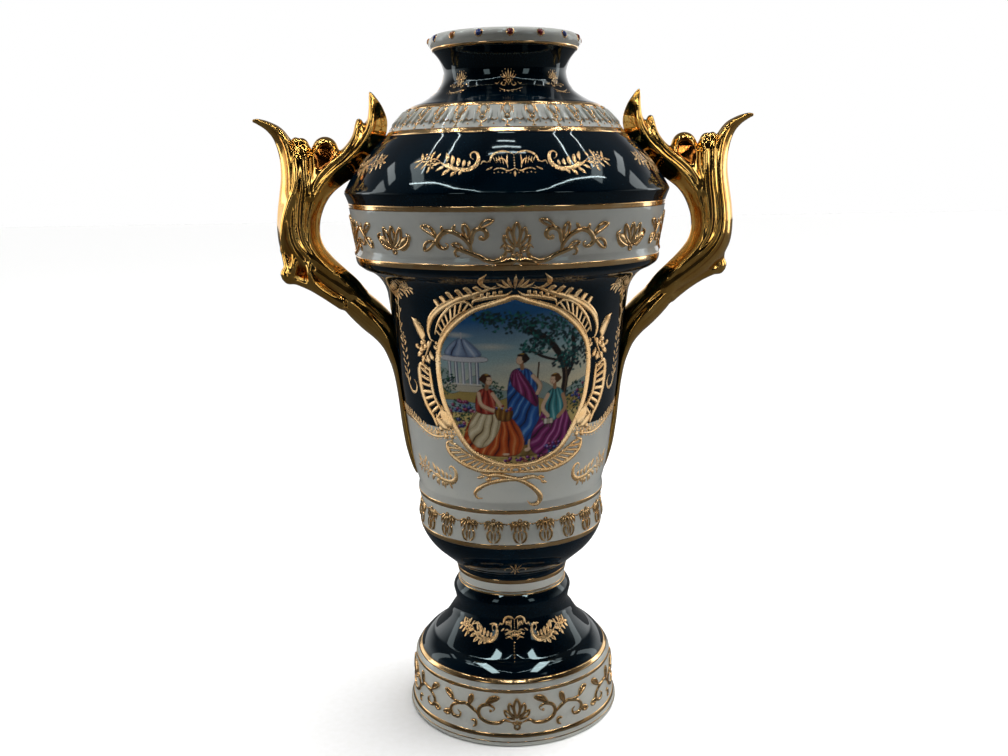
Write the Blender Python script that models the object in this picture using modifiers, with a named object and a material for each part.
"""Mantel urn of glazed and gilt porcelain, in two pieces.

The bowl is a hollow, open-mouthed vessel whose two leafy scroll handles were
luted to it before firing, so bowl and handles are one solid. It seats on a
separate pedestal foot, cast hollow from below. The urn stands on the ring
under the foot. The origin is the middle of that ring, +Z is up and the panel
side of the bowl looks along -Y. All sizes are in millimetres until MM turns
them into metres.
"""
import math

import bmesh
import bpy

MM = 0.001

# Driving sizes of the whole urn
URN_HEIGHT = 400.0
RIM_RADIUS = 42.8
NECK_RADIUS = 34.5
SHOULDER_RADIUS = 93.1
FRIEZE_RADIUS = 87.6
BODY_TOP_RADIUS = 70.6
BODY_FOOT_RADIUS = 55.2
STEM_RADIUS = 32.6
FOOT_RADIUS = 64.6
WALL = 4.6
RIM_WALL = 4.0

# Levels of the rings that divide the urn, from the ground up
FOOT_BAND_LEVEL = 33.6
FOOT_LEDGE_LEVEL = 45.8
FOOT_TOP_LEVEL = 80.6
JOINT_GAP = 0.3
STEM_LEVEL = FOOT_TOP_LEVEL + JOINT_GAP
BOWL_TURN_LEVEL = 117.0
BAND_LEVEL = 139.0
BODY_TOP_LEVEL = 258.0
FRIEZE_LEVEL = 279.0
SHOULDER_LEVEL = 316.0
SHOULDER_TOP_LEVEL = 345.7
NECK_FOOT_LEVEL = 361.7
NECK_LEVEL = 380.0
LIP_LEVEL = 396.0

# Facets round the turned pieces, and round a leaf of a handle
TURN_STEPS = 40
LEAF_SIDES = 8
AXIS_RADIUS = 0.0
WELD = 0.00001


def clear_scene():
    for item in list(bpy.data.objects):
        bpy.data.objects.remove(item, do_unlink=True)


def new_collection(name):
    collection = bpy.data.collections.new(name)
    bpy.context.scene.collection.children.link(collection)
    return collection


def porcelain(name, colour, roughness, metallic):
    """A glazed or gilt surface in one plain colour."""
    material = bpy.data.materials.new(name)
    material.use_nodes = True
    shader = material.node_tree.nodes["Principled BSDF"]
    shader.inputs["Base Color"].default_value = (*colour, 1.0)
    shader.inputs["Roughness"].default_value = roughness
    shader.inputs["Metallic"].default_value = metallic
    return material


def arc(start, end, bulge, steps):
    """Points after start up to end, on an arc whose middle stands off the chord.

    Going down an outline, a positive bulge swells outward and a negative one
    is a hollow.
    """
    (r0, z0), (r1, z1) = start, end
    chord = math.hypot(r1 - r0, z1 - z0)
    out_r, out_z = (z0 - z1) / chord, (r1 - r0) / chord
    half = chord / 2
    radius = (half * half + bulge * bulge) / (2 * abs(bulge))
    sweep = math.asin(half / radius)
    points = []
    for step in range(1, steps + 1):
        angle = sweep * (2 * step / steps - 1)
        along = 0.5 + radius * math.sin(angle) / chord
        off = math.copysign(radius * (math.cos(angle) - math.cos(sweep)), bulge)
        points.append((r0 + (r1 - r0) * along + out_r * off,
                       z0 + (z1 - z0) * along + out_z * off))
    return points


def outline(start, *runs):
    """An outline from a start point and runs of (r, z) or (r, z, bulge, steps)."""
    points = [start]
    for run in runs:
        if len(run) == 2:
            points.append(run)
        else:
            points.extend(arc(points[-1], run[:2], run[2], run[3]))
    return points


def turned(name, points, collection):
    """The solid that an outline makes when it is turned about the Z axis."""
    mesh = bpy.data.meshes.new(name)
    mesh.from_pydata([(r * MM, 0.0, z * MM) for r, z in points],
                     [(i, i + 1) for i in range(len(points) - 1)], [])
    item = bpy.data.objects.new(name, mesh)
    collection.objects.link(item)
    screw = item.modifiers.new("turn", "SCREW")
    screw.steps = TURN_STEPS
    screw.render_steps = TURN_STEPS
    screw.use_merge_vertices = True
    screw.merge_threshold = WELD
    screw.use_smooth_shade = True
    return item


def leaf(name, stations, collection, side=0.0):
    """A tapering leaf or stalk lofted through stations in the handle's plane.

    A station is (x, z, half width across the leaf, half depth along Y). Each
    section is an oval square to the leaf's run, and side shifts it along Y.
    """
    body = bmesh.new()
    rings = []
    for i, (x, z, width, depth) in enumerate(stations):
        ahead = stations[min(i + 1, len(stations) - 1)]
        behind = stations[max(i - 1, 0)]
        run = math.hypot(ahead[0] - behind[0], ahead[1] - behind[1])
        across = ((ahead[1] - behind[1]) / run, -(ahead[0] - behind[0]) / run)
        ring = []
        for k in range(LEAF_SIDES):
            turn = 2 * math.pi * k / LEAF_SIDES
            w, d = width * math.cos(turn), depth * math.sin(turn)
            ring.append(body.verts.new(((x + across[0] * w) * MM, (side + d) * MM,
                                        (z + across[1] * w) * MM)))
        rings.append(ring)
    for near, far in zip(rings, rings[1:]):
        for k in range(LEAF_SIDES):
            j = (k + 1) % LEAF_SIDES
            body.faces.new((near[k], near[j], far[j], far[k]))
    body.faces.new(rings[0][::-1])
    body.faces.new(rings[-1])
    bmesh.ops.recalc_face_normals(body, faces=body.faces)
    mesh = bpy.data.meshes.new(name)
    body.to_mesh(mesh)
    body.free()
    item = bpy.data.objects.new(name, mesh)
    collection.objects.link(item)
    return item


def guide(item):
    """Keep a tool shape out of the model and out of the render."""
    item.hide_render = True
    item.display_type = "WIRE"


def boolean(item, label, operation, tool=None, tools=None):
    modifier = item.modifiers.new(label, "BOOLEAN")
    modifier.operation = operation
    modifier.solver = "EXACT"
    if tools is None:
        modifier.object = tool
    else:
        modifier.operand_type = "COLLECTION"
        modifier.collection = tools


def bowl_outline():
    """The outside of the bowl, from the lip down to the underside of the stem."""
    return outline(
        (AXIS_RADIUS, URN_HEIGHT),
        (RIM_RADIUS - 3.2, URN_HEIGHT),
        (RIM_RADIUS, LIP_LEVEL, 0.9, 3),
        (RIM_RADIUS - 1.8, LIP_LEVEL - 3.6),
        (NECK_RADIUS, NECK_LEVEL, -1.1, 3),
        (NECK_RADIUS + 4.7, NECK_LEVEL - 10.5, -1.1, 3),
        (NECK_RADIUS + 18.3, NECK_FOOT_LEVEL + 0.2, -0.8, 2),
        (SHOULDER_RADIUS - 24.7, SHOULDER_TOP_LEVEL, 0.7, 2),
        (SHOULDER_RADIUS, SHOULDER_LEVEL, 1.6, 3),
        (SHOULDER_RADIUS - 2.7, SHOULDER_LEVEL - 7.0, 0.8, 2),
        (FRIEZE_RADIUS - 1.3, FRIEZE_LEVEL + 4.2, 0.4, 2),
        (FRIEZE_RADIUS, FRIEZE_LEVEL),
        (FRIEZE_RADIUS - 2.7, FRIEZE_LEVEL - 5.4, 0.9, 2),
        (BODY_TOP_RADIUS + 5.7, FRIEZE_LEVEL - 10.3, -0.3, 1),
        (BODY_TOP_RADIUS, BODY_TOP_LEVEL, -1.1, 3),
        (BODY_FOOT_RADIUS + 9.1, BAND_LEVEL + 66.0, -0.3, 2),
        (BODY_FOOT_RADIUS, BAND_LEVEL + 5.5, 1.5, 3),
        (BODY_FOOT_RADIUS + 0.7, BAND_LEVEL),
        (BODY_FOOT_RADIUS - 1.1, BAND_LEVEL - 7.0),
        (BODY_FOOT_RADIUS - 0.2, BOWL_TURN_LEVEL, 0.5, 2),
        (BODY_FOOT_RADIUS - 9.1, BOWL_TURN_LEVEL - 14.0, 1.1, 3),
        (STEM_RADIUS + 1.7, STEM_LEVEL + 10.2, -1.9, 3),
        (STEM_RADIUS, STEM_LEVEL + 3.0),
        (STEM_RADIUS, STEM_LEVEL),
        (AXIS_RADIUS, STEM_LEVEL))


def bowl_hollow_outline():
    """The empty inside of the bowl, from above the mouth down to its floor."""
    return outline(
        (AXIS_RADIUS, URN_HEIGHT + 2.0),
        (RIM_RADIUS - 3.6 - RIM_WALL, URN_HEIGHT + 2.0),
        (RIM_RADIUS - 3.6 - RIM_WALL, URN_HEIGHT - 2.0),
        (NECK_RADIUS - WALL, NECK_LEVEL, -0.6, 2),
        (NECK_RADIUS + 1.5, NECK_LEVEL - 13.0, -0.8, 2),
        (SHOULDER_RADIUS - 29.5, SHOULDER_TOP_LEVEL - 1.2),
        (SHOULDER_RADIUS - WALL - 1.6, SHOULDER_LEVEL - 1.0, 1.4, 2),
        (FRIEZE_RADIUS - WALL - 1.4, FRIEZE_LEVEL + 3.0, 0.3, 1),
        (BODY_TOP_RADIUS - WALL + 1.2, FRIEZE_LEVEL - 14.0, 2.2, 2),
        (BODY_FOOT_RADIUS + 4.5, BAND_LEVEL + 66.0, -0.6, 1),
        (BODY_FOOT_RADIUS - WALL - 0.6, BAND_LEVEL, 1.2, 2),
        (BODY_FOOT_RADIUS - WALL - 2.0, BOWL_TURN_LEVEL + 2.0),
        (STEM_RADIUS - WALL - 2.0, STEM_LEVEL + 10.0, 2.2, 3),
        (AXIS_RADIUS, STEM_LEVEL + 7.5))


def foot_outline():
    """Outside and hollow underside of the foot, turned as one cast shell."""
    ceiling = FOOT_TOP_LEVEL - 7.0
    return outline(
        (AXIS_RADIUS, FOOT_TOP_LEVEL),
        (STEM_RADIUS + 0.3, FOOT_TOP_LEVEL),
        (STEM_RADIUS + 2.0, FOOT_TOP_LEVEL - 11.3, 3.1, 4),
        (STEM_RADIUS + 2.1, FOOT_TOP_LEVEL - 13.6),
        (FOOT_RADIUS - 16.4, FOOT_LEDGE_LEVEL, -2.9, 4),
        (FOOT_RADIUS - 15.2, FOOT_LEDGE_LEVEL - 0.3),
        (FOOT_RADIUS - 4.2, FOOT_BAND_LEVEL, 1.9, 4),
        (FOOT_RADIUS - 3.2, FOOT_BAND_LEVEL - 10.0),
        (FOOT_RADIUS - 1.8, FOOT_BAND_LEVEL - 26.4, -0.8, 3),
        (FOOT_RADIUS - 0.9, 0.0, 1.3, 3),
        (FOOT_RADIUS - 6.6, 0.0),
        (FOOT_RADIUS - 9.0, FOOT_BAND_LEVEL - 2.0),
        (FOOT_RADIUS - 21.0, FOOT_LEDGE_LEVEL - 4.4, 1.2, 2),
        (STEM_RADIUS - WALL, ceiling - 7.0, 1.2, 3),
        (STEM_RADIUS - WALL - 1.0, ceiling),
        (AXIS_RADIUS, ceiling))


def handle_leaves():
    """Leaves and stalks of one handle, as (name, side shift, stations).

    Each station is (x, z, half width, half depth), from the free end down.
    """
    return [
        ("outer_leaf", 0.0, [
            (141.8, 355.6, 0.9, 2.0), (137.9, 352.6, 2.7, 4.2), (130.7, 347.4, 4.7, 6.0),
            (125.6, 338.0, 5.2, 7.5), (123.0, 326.0, 5.4, 8.5), (121.6, 312.0, 7.2, 9.0)]),
        ("inner_leaf", 0.0, [
            (75.6, 371.2, 0.9, 2.2), (74.7, 367.0, 2.5, 4.5), (73.5, 360.0, 4.8, 7.0),
            (74.2, 351.0, 6.8, 9.5), (78.8, 341.5, 8.6, 12.0), (87.0, 332.5, 9.2, 13.0),
            (98.4, 325.4, 8.4, 12.0), (109.4, 317.4, 8.0, 10.5), (116.4, 304.0, 6.0, 9.5)]),
        ("small_leaf", 0.0, [
            (82.5, 356.0, 1.6, 2.6), (82.6, 352.0, 3.2, 4.4), (85.2, 344.5, 4.4, 6.5),
            (91.5, 335.0, 6.0, 8.0), (100.0, 325.0, 8.0, 9.0)]),
        ("bud", 0.0, [
            (103.1, 347.0, 3.2, 3.4), (103.1, 344.6, 6.0, 6.4), (103.4, 338.5, 8.2, 8.6),
            (105.0, 330.0, 8.6, 8.6), (109.0, 320.0, 8.2, 8.4)]),
        ("bract", 0.0, [
            (118.8, 347.0, 1.8, 3.0), (118.0, 342.5, 3.8, 5.4), (117.5, 333.0, 5.6, 7.6),
            (118.0, 318.0, 7.0, 8.6)]),
        ("stalk", 0.0, [
            (118.2, 322.0, 9.0, 8.8), (119.8, 308.0, 10.4, 9.6), (121.1, 297.0, 11.2, 10.2),
            (120.9, 286.0, 11.2, 10.6), (117.0, 276.5, 10.4, 10.4), (108.5, 267.5, 9.0, 10.0),
            (96.6, 258.8, 7.6, 9.4), (90.0, 253.6, 6.0, 8.0)]),
        ("knob", -4.0, [
            (129.0, 272.8, 1.8, 3.0), (127.2, 271.0, 3.4, 5.0), (122.6, 268.4, 4.4, 6.2),
            (115.6, 266.2, 5.0, 6.4)]),
        ("curl", -8.2, [
            (112.6, 276.8, 1.6, 1.6), (112.0, 272.4, 2.8, 2.8), (110.6, 265.4, 3.4, 3.6),
            (106.0, 259.4, 3.4, 4.0)]),
        ("acanthus", 0.0, [
            (98.6, 259.4, 6.2, 9.0), (92.4, 253.9, 8.4, 11.4), (85.0, 247.4, 9.0, 12.6),
            (76.6, 239.6, 8.8, 12.6), (69.4, 230.0, 7.2, 12.0), (65.4, 218.0, 4.8, 11.0),
            (63.0, 204.0, 3.6, 10.0), (60.7, 186.0, 3.4, 8.6), (58.4, 168.0, 3.0, 6.4),
            (55.6, 155.0, 2.6, 4.0), (53.6, 147.5, 2.2, 1.6)]),
    ]


def build_handles(collection):
    """Both handles: one casting, and the same one turned half round the axis."""
    for hand, angle in (("right", 0.0), ("left", math.pi)):
        for name, side, stations in handle_leaves():
            item = leaf(f"{hand}_{name}", stations, collection, -side)
            item.rotation_euler[2] = angle
            guide(item)


def build_urn():
    clear_scene()
    urn = new_collection("mantel_urn")
    tools = new_collection("urn_tools")
    handles = new_collection("handle_leaves")

    cobalt = porcelain("cobalt_glazed_porcelain", (0.004, 0.007, 0.014), 0.08, 0.0)
    white = porcelain("white_glazed_porcelain", (0.55, 0.56, 0.54), 0.1, 0.0)

    build_handles(handles)
    hollow = turned("bowl_hollow", bowl_hollow_outline(), tools)
    guide(hollow)

    bowl = turned("bowl_with_handles", bowl_outline(), urn)
    boolean(bowl, "lute the handles on", "UNION", tools=handles)
    boolean(bowl, "hollow the bowl", "DIFFERENCE", tool=hollow)
    bowl.data.materials.append(cobalt)

    foot = turned("pedestal_foot", foot_outline(), urn)
    foot.data.materials.append(white)


build_urn()
